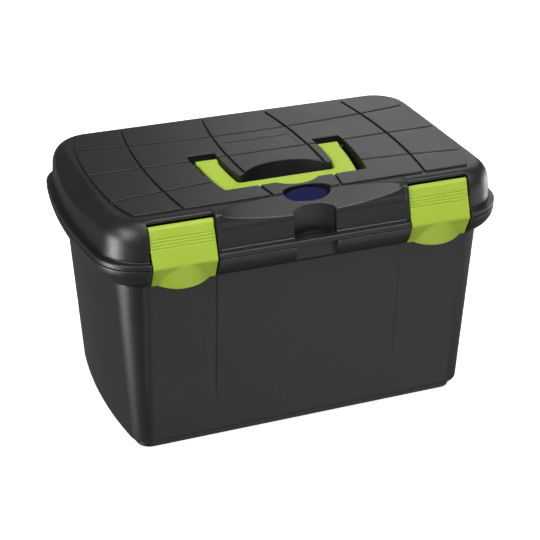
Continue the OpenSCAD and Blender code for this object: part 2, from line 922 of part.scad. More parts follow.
tub();
hinge_pin_left();
hinge_pin_right();
lid();
badge();
carry_handle();
handle_pin_left();
handle_pin_right();
latch_left();
latch_right();
latch_pin_left();
latch_pin_right();
tray();
tray_divider_long();
tray_divider_left();
tray_divider_right();
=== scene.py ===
import bpy
import bmesh
import json
import numpy as np
from math import acos, asin, atan2, cos, degrees, hypot, pi, radians, sin, sqrt, tan
from mathutils import Matrix, Vector
from mathutils.bvhtree import BVHTree

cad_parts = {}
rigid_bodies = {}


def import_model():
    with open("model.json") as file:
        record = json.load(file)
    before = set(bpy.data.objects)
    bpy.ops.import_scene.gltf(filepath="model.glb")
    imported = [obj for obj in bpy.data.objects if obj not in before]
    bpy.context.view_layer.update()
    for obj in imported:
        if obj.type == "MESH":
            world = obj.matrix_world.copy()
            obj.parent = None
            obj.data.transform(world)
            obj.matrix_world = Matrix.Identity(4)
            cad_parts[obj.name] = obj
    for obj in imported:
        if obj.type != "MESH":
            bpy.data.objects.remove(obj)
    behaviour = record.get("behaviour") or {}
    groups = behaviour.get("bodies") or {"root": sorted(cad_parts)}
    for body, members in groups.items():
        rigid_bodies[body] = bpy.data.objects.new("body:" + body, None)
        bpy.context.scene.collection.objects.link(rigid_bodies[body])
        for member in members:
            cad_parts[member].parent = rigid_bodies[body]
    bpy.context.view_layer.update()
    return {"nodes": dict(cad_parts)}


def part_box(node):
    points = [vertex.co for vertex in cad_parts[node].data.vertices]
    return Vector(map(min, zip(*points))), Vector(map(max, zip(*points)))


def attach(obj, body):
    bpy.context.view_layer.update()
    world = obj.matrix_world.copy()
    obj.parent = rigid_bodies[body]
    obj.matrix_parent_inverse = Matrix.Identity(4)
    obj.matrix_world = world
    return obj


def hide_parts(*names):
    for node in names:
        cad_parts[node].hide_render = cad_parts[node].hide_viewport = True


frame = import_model()
mm = 0.001  # sizes in the dictionaries are millimetres, meshes are metres
scene = bpy.context.scene
print("frame loaded with", len(frame["nodes"]), "nodes")

# camera, at the photograph's viewing angle
camera = {"place": (-472.6, -1234.5, 776.9), "aim": (2.807, 0.3, 113.1), "lens": 100.96}


def setCamera():
    data = bpy.data.cameras.new("camera")
    data.lens = camera["lens"]
    data.sensor_width = 36
    data.clip_start, data.clip_end = 0.05, 20
    eye = bpy.data.objects.new("camera", data)
    place, aim = Vector(camera["place"]) * mm, Vector(camera["aim"]) * mm
    eye.matrix_world = Matrix.Translation(place) @ (aim - place).to_track_quat("-Z", "Y").to_matrix().to_4x4()
    scene.collection.objects.link(eye)
    scene.camera = eye


setCamera()
print("camera set")


# node maths: a wrapped socket adds its own Math nodes
class Wire:
    def __init__(self, owner, socket):
        self.owner, self.socket = owner, socket

    def maths(self, kind, a, b):
        return self.owner.node("Math", {"operation": kind}, {0: a, 1: b})

    def __add__(self, other):
        return self.maths("ADD", self, other)

    __radd__ = __add__

    def __sub__(self, other):
        return self.maths("SUBTRACT", self, other)

    def __rsub__(self, other):
        return self.maths("SUBTRACT", other, self)

    def __mul__(self, other):
        return self.maths("MULTIPLY", self, other)

    __rmul__ = __mul__

    def __truediv__(self, other):
        return self.maths("DIVIDE", self, other)

    def __rtruediv__(self, other):
        return self.maths("DIVIDE", other, self)


# any other node, by its type, its settings and the values or wires of its sockets
class Nodes:
    def node(self, kind, settings, sockets, output=0):
        family = "ShaderNode" if hasattr(bpy.types, "ShaderNode" + kind) else "GeometryNode"
        made = self.tree.nodes.new(family + kind)
        for key, value in settings.items():
            if key == "stops":
                ramp = made.color_ramp
                while len(ramp.elements) < len(value):
                    ramp.elements.new(0.5)
                for element, (at, colour) in zip(ramp.elements, value):
                    element.position, element.color = at, colour
            else:
                setattr(made, key, value)
        for key, value in sockets.items():
            if isinstance(value, Wire):
                self.tree.links.new(value.socket, made.inputs[key])
            else:
                made.inputs[key].default_value = value
        return Wire(self, made.outputs[output])


class Paint(Nodes):  # the nodes of a material or of the world
    def __init__(self, name, kind="Material"):
        self.owner = (bpy.data.worlds if kind == "World" else bpy.data.materials).new(name)
        self.owner.use_nodes = True
        self.tree = self.owner.node_tree
        self.tree.nodes.clear()
        self.out = self.tree.nodes.new("ShaderNodeOutput" + kind)

    def place(self):
        return self.node("TexCoord", {}, {}, "Object")

    def noise(self, scale, detail=2.0, rough=0.5):
        return self.node("TexNoise", {}, {"Vector": self.place(), "Scale": scale, "Detail": detail,
                                          "Roughness": rough}, "Fac")

    def ramp(self, value, low, high):
        grey = [(low, (0, 0, 0, 1)), (high, (1, 1, 1, 1))]
        return self.node("ValToRGB", {"stops": grey}, {"Fac": value})

    def blendColour(self, share, a, b):
        return self.node("Mix", {"data_type": "RGBA"}, {0: share, 6: a, 7: b}, 2)

    def finish(self, sockets, shader="BsdfPrincipled"):
        skin = self.node(shader, {}, sockets)
        self.tree.links.new(skin.socket, self.out.inputs["Surface"])
        return self.owner


# moulded plastic: fine spark-eroded grain and a faint flow mottle
# each finish has a dark and a light tone, then roughness, strength of the grain and sheen
plasticLook = {"grain": 1150.0, "pit": 620.0, "mottle": 26.0, "grainDepth": 0.00014,
               "charcoal": ((0.0048, 0.0049, 0.0052, 1), (0.0155, 0.0157, 0.0163, 1), 0.38, 1.20, 0.50),
               "lime": ((0.29, 0.41, 0.03, 1), (0.345, 0.48, 0.045, 1), 0.42, 0.30, 0.24),
               "tray": ((0.055, 0.056, 0.058, 1), (0.088, 0.089, 0.092, 1), 0.46, 0.45, 0.45)}
steelLook = {"drawn": (40.0, 2600.0, 2600.0), "dark": (0.42, 0.42, 0.43, 1), "light": (0.66, 0.66, 0.67, 1)}


def mouldedPlastic(name, dark, light, rough, grainStrength, sheen):
    paint = Paint(name)
    grain = paint.noise(plasticLook["grain"], 3.0, 0.6)
    pits = paint.node("TexVoronoi", {"feature": "F1"},
                      {"Vector": paint.place(), "Scale": plasticLook["pit"]}, "Distance")
    mottle = paint.noise(plasticLook["mottle"], 4.0, 0.55)
    height = grain * 0.65 + pits * 0.35
    bump = paint.node("Bump", {}, {"Strength": grainStrength, "Distance": plasticLook["grainDepth"],
                                   "Height": height}, "Normal")
    speck = paint.ramp(grain, 0.34, 0.68)
    share = speck * 0.5 + mottle * 0.5
    colour = paint.blendColour(share, dark, light)
    return paint.finish({"Base Color": colour, "Roughness": mottle * 0.12 + speck * 0.06 + (rough - 0.09),
                         "Normal": bump, "Specular IOR Level": sheen})


def pinSteel(name):
    paint = Paint(name)
    drawn = paint.node("TexNoise", {}, {"Vector": paint.node("Mapping", {}, {
        "Vector": paint.place(), "Scale": steelLook["drawn"]}), "Scale": 1.0, "Detail": 2.0}, "Fac")
    tint = paint.blendColour(drawn, steelLook["dark"], steelLook["light"])
    bump = paint.node("Bump", {}, {"Strength": 0.25, "Distance": 0.00005, "Height": drawn}, "Normal")
    return paint.finish({"Base Color": tint, "Metallic": 1.0, "Roughness": drawn * 0.2 + 0.24, "Normal": bump})


charcoalPlastic = mouldedPlastic("charcoalPlastic", *plasticLook["charcoal"])
limePlastic = mouldedPlastic("limePlastic", *plasticLook["lime"])
trayPlastic = mouldedPlastic("trayPlastic", *plasticLook["tray"])
steel = pinSteel("pinSteel")
print("materials made")


# mesh helpers
def makePiece(name, verts, faces):
    mesh = bpy.data.meshes.new(name)
    mesh.from_pydata([Vector(v) * mm for v in verts], [], faces)
    work = bmesh.new()
    work.from_mesh(mesh)
    bmesh.ops.remove_doubles(work, verts=work.verts, dist=0.002 * mm)
    bmesh.ops.recalc_face_normals(work, faces=work.faces)
    work.to_mesh(mesh)
    work.free()
    piece = bpy.data.objects.new(name, mesh)
    scene.collection.objects.link(piece)
    return piece


# rings of points, all of one length, joined side by side
def loft(name, rings, closed=False):
    count = len(rings[0])
    verts = [point for ring in rings for point in ring]
    faces = []
    last = len(rings) if closed else len(rings) - 1
    for i in range(last):
        a, b = i * count, (i + 1) % len(rings) * count
        for k in range(count):
            n = (k + 1) % count
            faces.append((a + k, a + n, b + n, b + k))
    if not closed:  # the first and the last ring are capped
        faces.append(tuple(range(count)))
        faces.append(tuple(range(len(verts) - count, len(verts))))
    return makePiece(name, verts, faces)


def prism(name, plan, low, high):
    return loft(name, [[(x, y, low) for x, y in plan], [(x, y, high) for x, y in plan]])


def bandX(name, side, x0, x1):
    return loft(name, [[(x0, y, z) for y, z in side], [(x1, y, z) for y, z in side]])


def slab(name, x, y, z):
    return prism(name, [(x[0], y[0]), (x[1], y[0]), (x[1], y[1]), (x[0], y[1])], z[0], z[1])


# a lathed sleeve along X, with softened ends
def sleeveX(name, x0, x1, radius, bore, y, z, edge=0.5, steps=40):
    turn = edge * 0.3
    line = [(x0, bore), (x0, radius - edge), (x0 + turn, radius - turn), (x0 + edge, radius),
            (x1 - edge, radius), (x1 - turn, radius - turn), (x1, radius - edge), (x1, bore)]
    angles = [2 * pi * i / steps for i in range(steps)]
    rings = [[(x, y + r * cos(a), z + r * sin(a)) for a in angles] for x, r in line]
    return loft(name, rings, closed=True)


def mirrorX(piece):
    twin = bpy.data.objects.new(piece.name + "Twin", piece.data.copy())
    twin.data.transform(Matrix.Scale(-1, 4, (1, 0, 0)))
    twin.data.flip_normals()
    scene.collection.objects.link(twin)
    return twin


def tilted(piece, place, angle, axis):  # turned about the origin, then set in its place
    turn = Matrix.Rotation(radians(angle), 4, axis)
    piece.data.transform(Matrix.Translation(Vector(place) * mm) @ turn)
    return piece


def settle(piece):  # modifiers become plain mesh
    graph = bpy.context.evaluated_depsgraph_get()
    mesh = bpy.data.meshes.new_from_object(piece.evaluated_get(graph))
    piece.modifiers.clear()
    piece.data = mesh


def carve(piece, tool, how="DIFFERENCE"):
    cut = piece.modifiers.new("carve", "BOOLEAN")
    cut.operation, cut.object, cut.solver = how, tool, "EXACT"
    settle(piece)
    bpy.data.objects.remove(tool)


def carveBoth(piece, tool, how="DIFFERENCE"):
    twin = mirrorX(tool)
    carve(piece, tool, how)
    carve(piece, twin, how)


def fuse(piece, *others):  # gathers loose shells into one piece
    work = bmesh.new()
    work.from_mesh(piece.data)
    for other in others:
        work.from_mesh(other.data)
        bpy.data.objects.remove(other)
    work.to_mesh(piece.data)
    work.free()


# rounds the edges that turn by more than the angle, where the middle of the edge is wanted
def roundEdges(piece, width, wanted=None, angle=40, steps=2):
    work = bmesh.new()
    work.from_mesh(piece.data)
    bmesh.ops.remove_doubles(work, verts=work.verts, dist=0.03 * mm)
    bmesh.ops.dissolve_degenerate(work, dist=0.02 * mm, edges=work.edges)
    edges = []
    for edge in work.edges:
        if len(edge.link_faces) != 2 or edge.calc_face_angle(0) < radians(angle):
            continue
        middle = (edge.verts[0].co + edge.verts[1].co) / 2 / mm
        if wanted is None or wanted(middle):
            edges.append(edge)
    skin = BVHTree.FromBMesh(work)
    bmesh.ops.bevel(work, geom=edges, offset=width * mm, offset_type="OFFSET", segments=steps,
                    profile=0.5, affect="EDGES", clamp_overlap=False, miter_outer="ARC", loop_slide=True)
    for vert in work.verts:  # a corner that shot out goes back to the skin
        spot, _, _, away = skin.find_nearest(vert.co)
        if away > width * mm:
            vert.co = spot
    work.to_mesh(piece.data)
    work.free()


# closes what the cuts left open, paints the piece and smooths all but its sharp edges
def shade(piece, material, angle=34):
    mesh = piece.data
    mesh.materials.clear()
    mesh.materials.append(material)
    work = bmesh.new()
    work.from_mesh(mesh)
    bmesh.ops.dissolve_degenerate(work, dist=0.002 * mm, edges=work.edges)
    bmesh.ops.holes_fill(work, edges=[edge for edge in work.edges if edge.is_boundary], sides=0)
    bmesh.ops.delete(work, geom=[edge for edge in work.edges if edge.is_wire], context="EDGES")
    for face in work.faces:
        face.smooth = True
        face.material_index = 0
    for edge in work.edges:
        edge.smooth = len(edge.link_faces) == 2 and edge.calc_face_angle(0) < radians(angle)
    work.to_mesh(mesh)
    work.free()
    weigh = piece.modifiers.new("weigh", "WEIGHTED_NORMAL")
    weigh.keep_sharp = True
    settle(piece)


def onBody(piece, body, slot, *nodes):
    piece.data.name = piece.name
    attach(piece, body)
    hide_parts(*nodes)
    print(piece.name, "has", sum(len(p.vertices) - 2 for p in piece.data.polygons), "triangles")


def curve(t0, t1, steps, rule):
    return [rule(t0 + (t1 - t0) * i / steps) for i in range(steps + 1)]


# rounds the corners of a line of (a, b, radius) points
def softLine(points, stepAngle=15):
    line = []
    for i, (a, b, radius) in enumerate(points):
        here = Vector((a, b))
        if radius == 0 or i == 0 or i == len(points) - 1:
            line.append((a, b))
            continue
        back = (Vector(points[i - 1][:2]) - here).normalized()
        ahead = (Vector(points[i + 1][:2]) - here).normalized()
        half = acos(max(-1, min(1, back.dot(ahead)))) / 2
        middle = here + (back + ahead).normalized() * radius / sin(half)
        start = here + back * radius / tan(half) - middle
        stop = here + ahead * radius / tan(half) - middle
        turn = atan2(start.x * stop.y - start.y * stop.x, start.dot(stop))
        steps = max(2, round(abs(degrees(turn)) / stepAngle))
        for k in range(steps + 1):
            c, s = cos(turn * k / steps), sin(turn * k / steps)
            line.append((middle.x + start.x * c - start.y * s, middle.y + start.x * s + start.y * c))
    return line


# outline of the box in plan: bowed ends, round corners, straight front and rear
lidLow, lidHigh = [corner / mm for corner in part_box("lid")]
box = {"halfW": lidHigh.x, "halfD": -lidLow.y, "top": lidHigh.z, "endR": 560.0, "cornerR": 46.0,
       "parting": 198.0, "rimFoot": 178.0, "lidFoot": 198.4, "lipTop": 203.4, "shoulder": 219.0,
       "cap": 44.0}  # inset of the flat middle that closes floor and top
endX = box["halfW"] - box["endR"]
cornerY = box["halfD"] - box["cornerR"]
cornerX = endX + sqrt((box["endR"] - box["cornerR"]) ** 2 - cornerY ** 2)
cornerTurn = asin(cornerY / (box["endR"] - box["cornerR"]))
front = -box["halfD"]
top = box["top"]


# points of the outline with their outward directions, counter-clockwise from the front left
def outline(inset, stops, cornerSteps=20, endSteps=24):
    points = [((x, front + inset), (0.0, -1.0)) for x in stops]

    def arc(cx, cy, r, a0, a1, steps):
        for i in range(1, steps + 1):
            a = a0 + (a1 - a0) * i / steps
            points.append(((cx + r * cos(a), cy + r * sin(a)), (cos(a), sin(a))))

    half, full, r = pi / 2, pi, box["cornerR"] - inset
    arc(cornerX, -cornerY, r, -half, -cornerTurn, cornerSteps)
    arc(endX, 0, box["endR"] - inset, -cornerTurn, cornerTurn, endSteps)
    arc(cornerX, cornerY, r, cornerTurn, half, cornerSteps)
    points += [((x, -front - inset), (0.0, 1.0)) for x in sorted(stops, reverse=True)[1:]]
    arc(-cornerX, cornerY, r, half, full - cornerTurn, cornerSteps)
    arc(-endX, 0, box["endR"] - inset, full - cornerTurn, full + cornerTurn, endSteps)
    arc(-cornerX, -cornerY, r, full + cornerTurn, full + half, cornerSteps)
    return points[:-1]


def ring(inset, z, stops, press=None):
    made = []
    for (x, y), (nx, ny) in outline(inset, stops):
        depth = press(x, y, z) if press else 0.0
        made.append((x - nx * depth, y - ny * depth, z))
    return made


def plainStops(step=12.0):
    count = round(2 * cornerX / step)
    return [-cornerX + 2 * cornerX * i / count for i in range(count + 1)]


def ease(a, b, v):  # 0 below a, 1 above b, smooth between them
    t = np.clip((v - a) / (b - a), 0, 1)
    return t * t * (3 - 2 * t)


# geometry nodes: bars and blocks that repeat
class Tree(Nodes):
    def __init__(self, name):
        self.tree = bpy.data.node_groups.new(name, "GeometryNodeTree")
        self.tree.interface.new_socket("Geometry", in_out="OUTPUT", socket_type="NodeSocketGeometry")
        self.ids = {}
        self.inputs = self.tree.nodes.new("NodeGroupInput")

    def socket(self, label, kind):
        made = self.tree.interface.new_socket(label, in_out="INPUT", socket_type="NodeSocket" + kind)
        self.ids[label] = made.identifier
        return Wire(self, [s for s in self.inputs.outputs if s.identifier == made.identifier][0])

    def close(self, geometry, material):
        real = self.node("RealizeInstances", {}, {0: geometry})
        painted = self.node("SetMaterial", {}, {"Geometry": real, "Material": material})
        out = self.tree.nodes.new("NodeGroupOutput")
        self.tree.links.new(painted.socket, out.inputs[0])
        return self


def runTree(piece, made, values):
    mod = piece.modifiers.new("nodes", "NODES")
    mod.node_group = made.tree
    for label, value in values.items():
        mod[made.ids[label]] = value
    settle(piece)


def blocksTree():  # one block on every point of the piece
    made = Tree("blocksOnPoints")
    points = made.socket("Geometry", "Geometry")
    size = made.socket("Block size", "Vector")
    material = made.socket("Material", "Material")
    block = made.node("MeshCube", {}, {"Size": size})
    rows = made.node("InstanceOnPoints", {}, {"Points": points, "Instance": block})
    return made.close(rows, material)


def groovesTree():  # bowed bars, each of them the groove between two rows of tiles, cut from the piece
    made = Tree("tileGrooves")
    slabIn = made.socket("Geometry", "Geometry")
    labels = ("Groove width", "Bar height", "Level", "Long bow", "Cross bow", "Inner groove", "Outer groove",
              "Cross groove", "Reach")
    sockets = [made.socket(label, "Float") for label in labels]
    width, depth, level, longBow, crossBow, inner, outer, cross, reach = sockets
    material = made.socket("Material", "Material")
    section = made.node("CurvePrimitiveQuadrilateral", {"mode": "RECTANGLE"}, {0: width, 1: depth})

    def bar(radius, place, turn):  # an arc about a far centre, its middle facing along turn
        half = reach / radius
        arc = made.node("CurveArc", {"mode": "RADIUS"}, {
            "Resolution": 40, "Radius": radius, "Start Angle": turn - half, "Sweep Angle": half * 2.0})
        body = made.node("CurveToMesh", {}, {"Curve": arc, "Profile Curve": section, "Fill Caps": True})
        return made.node("Transform", {}, {"Geometry": body, "Translation": place})

    def spot(x, y):
        return made.node("CombineXYZ", {}, {0: x, 1: y, 2: level})

    bars = []
    for at in (inner, outer):
        bars.append(bar(longBow, spot(at - longBow, 0.0), 0.0))
        bars.append(bar(longBow, spot(longBow - at, 0.0), pi))
    away = cross + crossBow
    bars.append(bar(crossBow, spot(0.0, away), -pi / 2))
    bars.append(bar(crossBow, spot(0.0, 0.0 - away), pi / 2))
    straight = crossBow * 40.0  # the middle one hardly bows
    bars.append(bar(straight, spot(0.0, straight), -pi / 2))
    result = slabIn
    for one in bars:
        result = made.node("MeshBoolean", {"operation": "DIFFERENCE"}, {0: result, 1: one})
    return made.close(result, material)


blockRows = blocksTree()
tileGrooves = groovesTree()


def blocks(name, points, size, material):
    piece = makePiece(name, points, [])
    runTree(piece, blockRows, {"Block size": Vector(size) * mm, "Material": material})
    return piece


# tub: drafted wall on an inset plinth, under a rolled rim that is hollow below
tub = {"wall": 2.6, "floor": 3.0, "plinthH": 8.0, "plinthInset": 33.0, "footInset": 26.2, "footRound": 3.4,
       "wallInset": 15.9, "wallTop": 180.0, "rimTuck": 11.5, "rimPower": 2.35, "edge": 0.6,
       "wallRows": (16, 24, 32, 38, 44, 50, 56, 62, 68, 74, 80, 86, 100, 120, 140, 160, 170, 176),
       "panel": (89.0, 155.4), "panelSoft": (0.7, 0.8), "panelDepth": 0.9, "panelFade": (38.0, 84.0),
       "notch": (91.6, 152.4), "notchBack": -110.4, "notchZone": (-107.0, 176.0), "ribUnder": 0.25,
       "ribTuck": 0.6, "catch": (-109.7, 189.0), "catchR": 2.4, "catchX": 122.0, "catchHalf": 26.8,
       "hollowW": 39.0, "hollowD": 6.0, "ledge": (163.0, 186.6, 189.4), "ledgeHalf": 75.0}
hinge = {"x": 115.0, "y": 130.6, "z": 198.2, "r": 5.2, "bore": 2.05, "lidHalf": 11.0, "gap": 0.4,
         "tubLength": 12.0, "web": 4.0, "webGap": 0.6, "webEdge": 0.5}


def rimInset(v):  # v runs up the rim from 0 to 1
    return tub["rimTuck"] * (1 - v) ** tub["rimPower"]


def rimHeight(v):
    return box["rimFoot"] + (box["parting"] - box["rimFoot"]) * v


def wallInsetAt(z):
    share = (box["rimFoot"] - z) / (box["rimFoot"] - tub["plinthH"])
    return tub["wallInset"] + (tub["footInset"] - tub["wallInset"]) * share


# section of the tub as (inset, height, rounding): outside, over the rim, inside
def tubSide():
    wall, deck, step = tub["wall"], box["parting"] - tub["wall"], tub["plinthH"] + tub["floor"]
    plinthOut, wallOut = tub["plinthInset"], tub["wallInset"]
    plinthIn, wallIn = plinthOut + wall, wallOut + wall
    side = [(box["cap"], 0.0, 0), (plinthOut, 0.0, 1.0), (plinthOut, tub["plinthH"], 0.8),
            (tub["footInset"], tub["plinthH"], tub["footRound"])]
    side += [(wallInsetAt(z), z, 0) for z in tub["wallRows"]]
    side += [(wallOut, tub["wallTop"], 0), (wallOut, deck, 1.2), (rimInset(0.85) + wall, deck, 1.6)]
    side += [(rimInset(v) + wall, rimHeight(v), 0) for v in (0.72, 0.6, 0.48, 0.36, 0.25, 0.15, 0.07)]
    side += [(tub["rimTuck"] + wall, box["rimFoot"], 0.5), (tub["rimTuck"], box["rimFoot"], 0.7)]
    side += [(rimInset(v), rimHeight(v), 0)
             for v in (0.06, 0.11, 0.17, 0.24, 0.32, 0.41, 0.5, 0.6, 0.7, 0.8, 0.9)]
    side += [(0.0, box["parting"], 0.6), (wallIn, box["parting"], 1.0), (wallIn, box["rimFoot"], 8.0),
             (tub["footInset"] + wall, step, 4.0), (plinthIn, step, 1.5), (plinthIn, tub["floor"], 2.0),
             (box["cap"], tub["floor"], 0)]
    return softLine(side)


# shallow panels in the front wall under the latches
def panelPress(x, y, z):
    if y > 0:
        return 0.0
    (inner, outer), (softIn, softOut) = tub["panel"], tub["panelSoft"]
    sides = ease(inner - softIn, inner + softIn, abs(x))
    sides *= 1 - ease(outer - softOut, outer + softOut, abs(x))
    return tub["panelDepth"] * sides * ease(*tub["panelFade"], z)


def knuckle(x0, x1, low, high):
    barrel = sleeveX("knuckle", x0, x1, hinge["r"], hinge["bore"], hinge["y"], hinge["z"], 0.7)
    webY = (box["halfD"] - tub["wall"], hinge["y"] - hinge["bore"] - hinge["webGap"])
    web = slab("web", (x0 + 0.05, x1 - 0.05), webY, (low, high))
    roundEdges(web, hinge["webEdge"])
    return [barrel, web]


def trayLedge(side):
    xIn, low, high = tub["ledge"]
    reach, outR = tub["ledgeHalf"], box["endR"] - wallInsetAt(low) - tub["wall"] / 2
    plan = [(side * xIn, -reach), (side * xIn, reach)]
    plan += curve(reach, -reach, 16, lambda y: (side * (endX + sqrt(outR ** 2 - y * y)), y))
    ledge = prism("ledge", plan, low, high)
    roundEdges(ledge, tub["edge"], lambda p: abs(p.x) < xIn + 2 or abs(p.y) > reach - 1)
    return ledge


def buildTub():
    panelEdge, stops = tub["panel"][0], set(plainStops(8.0))
    for step in (-0.9, -0.45, 0.0, 0.45, 0.9):  # closer points where the panel steps in
        stops |= {panelEdge + step, -panelEdge - step}
    stops = sorted(stops)
    rings = []
    inside = False
    for inset, z in tubSide():
        inside = inside or z > tub["wallTop"] + 1
        rings.append(ring(inset, z, stops, None if inside else panelPress))
    shell = loft("tubShell", rings)
    tuck = front + tub["wallInset"] + tub["ribTuck"]
    ribSide = [(front + rimInset(v) + tub["ribUnder"], rimHeight(v))
               for v in (0.03, 0.1, 0.2, 0.32, 0.46, 0.62, 0.8, 0.94)]
    ribSide += [(tuck, box["parting"] - 0.8), (tuck, box["rimFoot"] + 0.6)]
    wall, (n0, n1) = tub["wall"], tub["notch"]
    carveBoth(shell, bandX("rib", ribSide, n0 - wall, n0 + 1), "UNION")
    carveBoth(shell, bandX("rib", ribSide, n1 - 1, n1 + wall), "UNION")
    half = tub["hollowW"] / 2
    carve(shell, bandX("backing", ribSide, -half - wall, half + wall), "UNION")
    low, high = box["rimFoot"] - 3, box["parting"] + 3  # the cuts run past the rim
    carveBoth(shell, slab("notch", (n0, n1), (front - 3, tub["notchBack"]), (low, high)))
    mouth, deep = front - 8, front + tub["hollowD"]
    hollow = softLine([(0, mouth, 0), (half, mouth, 0), (half - 0.8, deep, 0.5), (0.8 - half, deep, 0.5),
                       (-half, mouth, 0), (0, mouth, 0)])
    carve(shell, prism("hollow", hollow[:-1], low, high))
    zoneRear, zoneFoot = tub["notchZone"]
    roundEdges(shell, tub["edge"],
               lambda p: p.y < zoneRear and p.z > zoneFoot and n0 - wall < abs(p.x) < n1 + wall)
    extras = []
    for side in (-1, 1):
        x, reach = side * tub["catchX"], tub["catchHalf"]
        extras.append(sleeveX("catch", x - reach, x + reach, tub["catchR"], 0.2, *tub["catch"], 0.8, 24))
        extras.append(trayLedge(side))
        for out in (-1, 1):
            a = side * hinge["x"] + out * (hinge["lidHalf"] + hinge["gap"])
            b = a + out * hinge["tubLength"]
            extras += knuckle(min(a, b), max(a, b), box["parting"] - hinge["web"], box["parting"])
    fuse(shell, *extras)
    shade(shell, charcoalPlastic)
    onBody(shell, "tub", "charcoal_plastic", "tub")


buildTub()

# lid: lip, leaning dome with a flat on each end, raised tiles, hood with a scalloped facet and a finger scoop
lid = {"wall": 2.6, "roof": 1.8, "domeInset": 5.6, "lean": 1.2, "ledgeInset": 21.5, "deck": 201.0,
       "skirt": (19.3, 21.0, 194.0), "facet": (176.9, 43.5), "facetFoot": 215.0, "facetEdge": 0.6,
       "lineY": (-62.0, 0.0, 62.0), "lineHalf": 0.3, "lineRise": 0.14, "lineInset": 8.6,
       "tileInset": 27.0, "tileRise": 1.6, "tileSink": 0.7, "tileEdge": 0.7, "tileCorner": 1.2,
       "tileFront": 97.6, "tileBend": (60.0, 125.0), "groove": 2.4, "grooveX": (40.3, 123.0), "longBow": 640.0,
       "grooveY": 50.4, "crossBow": 1100.0, "barHeight": 6.0, "barReach": 220.0,
       "plate": ((-34.5, 8.4), (34.5, 8.4), (33.0, 31.0), (-33.0, 31.0)), "plateDeep": 0.3}
hood = {"half": 91.8, "face": 5.4, "lean": 4.6, "brow": 5.0, "rear": -92.0, "foot": 200.0,
        "leafTilt": 34.0, "leafHalf": 85.5, "leafDeep": 7.2, "leafPower": 1.85, "crease": 0.4,
        "rib": 1.0, "ribX": 88.6, "ribSoft": 0.7, "bead": 1.5, "beadOut": 0.6, "beadSoft": 0.3,
        "scoopHalf": 20.0, "scoopBack": -109.3, "scoopR": 40.4, "scoopCorner": 0.4, "scoopEdge": 0.45,
        "ledge": 2.6, "slotHalf": 17.6, "slotFront": 6.4, "slotFloor": 201.2, "slotTop": 214.0,
        "slotBow": 260.0}
latch = {"x": 122.0, "w": 58.8, "t": 2.8, "top": (-112.5, 232.7), "crease": (-124.4, 198.2),
         "foot": (-115.4, 178.7), "tabHalf": 24.0, "tabOut": 8.25, "barrelR": 3.6, "barrelL": 13.0,
         "pin": (-109.225, 227.7), "pinR": 1.65, "sideGap": 1.0, "pocketBack": -102.0, "pocketEdge": 0.7,
         "mouthBack": -108.5, "mouthLow": 234.1, "mouthR": 1.2, "shelf": -118.8, "shelfTop": 230.0}
handle = {"pivot": (-1.5, 232.5), "bowR": 320.0, "half": 71.0, "arm": 20.0, "length": 67.5, "grip": 19.0,
          "t": 11.0, "tilt": 4.0, "pinR": 2.05, "cornerR": 3.2, "edgeR": 2.6, "mitreHalf": 0.22,
          "mitreDeep": 0.35, "wellFloor": 221.0, "wellFront": -74.2, "wellRear": 11.5, "wellInner": -47.2,
          "inGap": 1.4, "outGap": 5.6, "pitHalf": 42.0, "pitD": 20.0, "pitDraft": 0.95, "notchR": 27.0,
          "notchD": 9.0}
# the badge's black rim tone and where it starts are painted shade of its seat
badge = {"l": 44.0, "w": 21.0, "t": 1.6, "y": -97.1, "z": 234.7, "tilt": 19.5, "gap": 0.4, "crown": 0.7,
         "flake": 900.0, "navy": ((0.0048, 0.0046, 0.036, 1), (0.009, 0.0088, 0.058, 1)),
         "rimShade": (0.0035, 0.0035, 0.0045, 1), "rimShadeShare": (0.78, 0.85)}
fieldZ = top - lid["tileRise"]  # level of the groove floors
bowX = handle["half"] - handle["bowR"]
pocket = (latch["x"] - latch["w"] / 2 - latch["sideGap"], latch["x"] + latch["w"] / 2 + latch["sideGap"])
above, below, ahead = 250.0, 190.0, front - 4  # where tools end that cut out through the lid


def shoulderLine(d0, z0, d1, z1, steps=12):
    return curve(0, pi / 2, steps,
                 lambda a: (d1 - (d1 - d0) * cos(a), z0 + (z1 - z0) * sin(a), 0))


def ringed(name, side):
    return loft(name, [ring(inset, z, plainStops()) for inset, z in softLine(side)])


def domeBlank():
    skirt, _, foot = lid["skirt"]
    side = [(box["cap"], foot, 0), (skirt, foot, 0.5), (skirt, box["lidFoot"], 0.3),
            (0.0, box["lidFoot"], 0.7), (0.0, box["lipTop"], 1.0), (lid["domeInset"], box["lipTop"], 1.0)]
    side += shoulderLine(lid["domeInset"] + lid["lean"], box["shoulder"], lid["ledgeInset"], fieldZ)
    return ringed("lidShell", side + [(box["cap"], fieldZ, 0)])


# everything outside the flat that slants down at each end of the dome
def facetTool(name, inward):
    x, slope = lid["facet"]
    s, c = sin(radians(slope)), cos(radians(slope))
    x, z = x - s * inward, fieldZ - c * inward
    up, out = 40, 60
    near = [(x - up * c, z + up * s), (x + out * c, z - out * s)]
    section = near + [(a + out * s, b + out * c) for a, b in reversed(near)]
    return loft(name, [[(a, y, b) for a, b in section] for y in (front, -front)])


def onFacet(p):
    x, slope = lid["facet"]
    slope = radians(slope)
    away = (abs(p.x) - x) * sin(slope) + (p.z - fieldZ) * cos(slope)
    return abs(away) < 0.05 and p.z > lid["facetFoot"]


# fine raised lines across the flat, in line with the cross grooves
def facetLine(y):
    (x, slope), half = lid["facet"], lid["lineHalf"]
    reach = endX + sqrt((box["endR"] - lid["lineInset"]) ** 2 - y * y) - x
    reach /= cos(radians(slope))
    line = slab("facetLine", (1.0, reach), (y - half, y + half), (-0.5, lid["lineRise"]))
    return tilted(line, (x, 0, fieldZ), slope, "Y")


